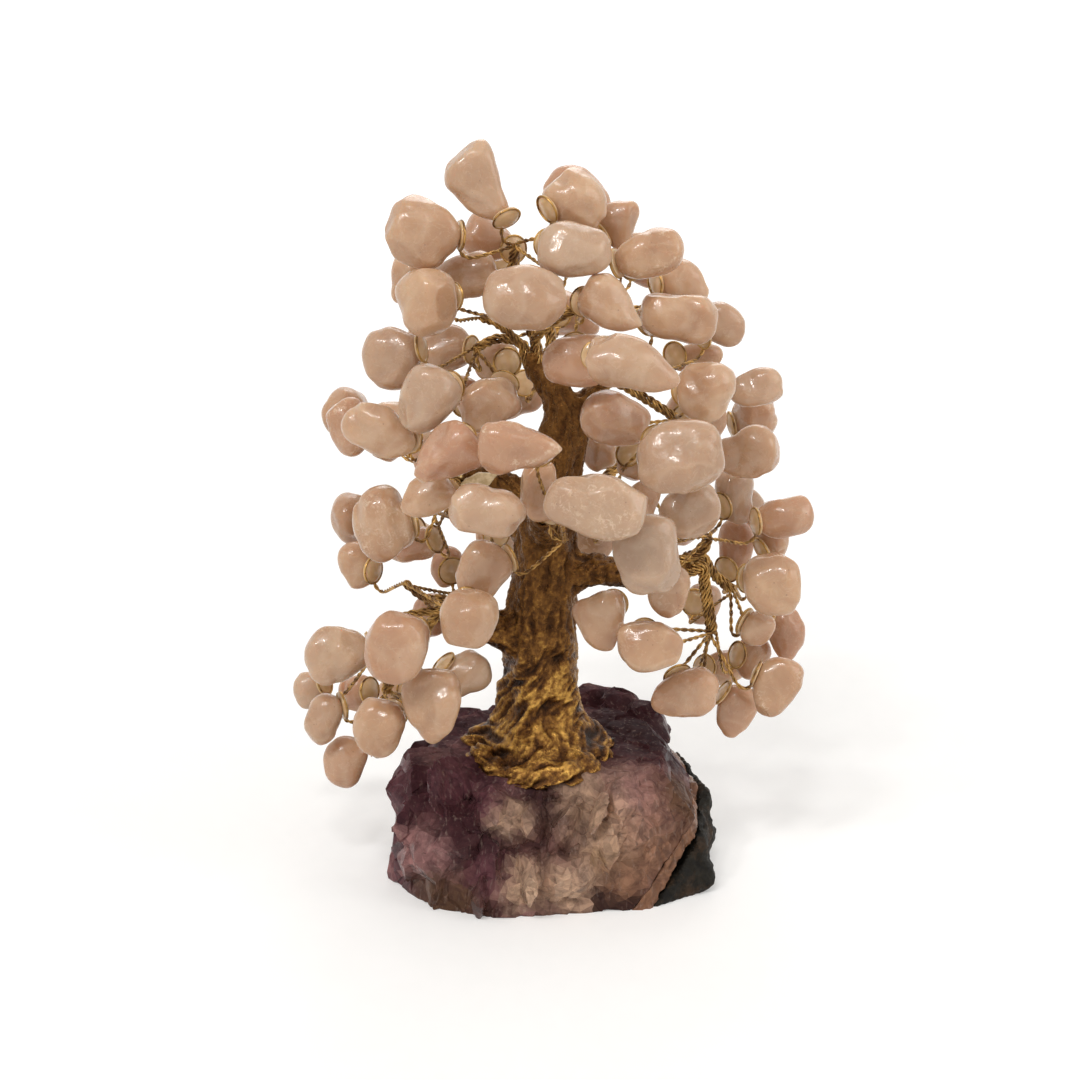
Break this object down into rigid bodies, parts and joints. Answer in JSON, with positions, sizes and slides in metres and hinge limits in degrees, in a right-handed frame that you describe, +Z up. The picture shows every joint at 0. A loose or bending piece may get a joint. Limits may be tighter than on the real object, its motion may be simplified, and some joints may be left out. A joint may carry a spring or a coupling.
{
  "type": "gemstone tree ornament",
  "caption": "Small wire tree with tumbled rose quartz pebbles as leaves and a gold-painted trunk, standing on a natural amethyst cluster.",
  "frame": {"origin": "middle of the flat underside of the amethyst cluster, on the surface that the ornament stands on", "axes": "+Z up along the tree, +X to the right and +Y to the back as the picture sees it"},
  "size_m": [0.1242, 0.1132, 0.1748],
  "materials": {
    "rose_quartz": "polished, slightly translucent pale pink-brown, with faint clouds and veins",
    "clear_resin": "clear amber-tinted resin, glossy and domed",
    "brass_wire": "drawn brass wire, twisted in pairs, partly darkened",
    "gold_paint": "hand-modelled putty under gold metallic paint, rough as bark, browner in its hollows",
    "basalt": "matt dark green-black rind",
    "white_quartz": "broken, cloudy pale quartz",
    "amethyst": "faceted, glassy, deep purple with pale tips",
    "pale_stone": "pale worn flake"
  },
  "bodies": {
    "root": {"amethyst_crystals": "amethyst", "back_left_resin": "clear_resin", "back_left_stones": "rose_quartz", "back_left_wires": "brass_wire", "back_right_resin": "clear_resin", "back_right_stones": "rose_quartz", "back_right_wires": "brass_wire", "back_top_resin": "clear_resin", "back_top_stones": "rose_quartz", "back_top_wires": "brass_wire", "basalt_rind": "basalt", "crown_top_resin": "clear_resin", "crown_top_stones": "rose_quartz", "crown_top_wires": "brass_wire", "left_lower_resin": "clear_resin", "left_lower_stones": "rose_quartz", "left_lower_wires": "brass_wire", "left_upper_resin": "clear_resin", "left_upper_stones": "rose_quartz", "left_upper_wires": "brass_wire", "low_left_lower_resin": "clear_resin", "low_left_lower_stones": "rose_quartz", "low_left_lower_wires": "brass_wire", "low_left_middle_resin": "clear_resin", "low_left_middle_stones": "rose_quartz", "low_left_middle_wires": "brass_wire", "low_left_upper_resin": "clear_resin", "low_left_upper_stones": "rose_quartz", "low_left_upper_wires": "brass_wire", "middle_front_resin": "clear_resin", "middle_front_stones": "rose_quartz", "middle_front_wires": "brass_wire", "middle_left_resin": "clear_resin", "middle_left_stones": "rose_quartz", "middle_left_wires": "brass_wire", "pale_flake": "pale_stone", "quartz_band": "white_quartz", "right_inner_resin": "clear_resin", "right_inner_stones": "rose_quartz", "right_inner_wires": "brass_wire", "right_lower_resin": "clear_resin", "right_lower_stones": "rose_quartz", "right_lower_wires": "brass_wire", "right_middle_resin": "clear_resin", "right_middle_stones": "rose_quartz", "right_middle_wires": "brass_wire", "right_outer_resin": "clear_resin", "right_outer_stones": "rose_quartz", "right_outer_wires": "brass_wire", "right_top_resin": "clear_resin", "right_top_stones": "rose_quartz", "right_top_wires": "brass_wire", "trunk_core_wires": "brass_wire", "trunk_putty": "gold_paint", "upper_left_resin": "clear_resin", "upper_left_stones": "rose_quartz", "upper_left_wires": "brass_wire", "upper_right_resin": "clear_resin", "upper_right_stones": "rose_quartz", "upper_right_wires": "brass_wire"}
  },
  "joints": []
}
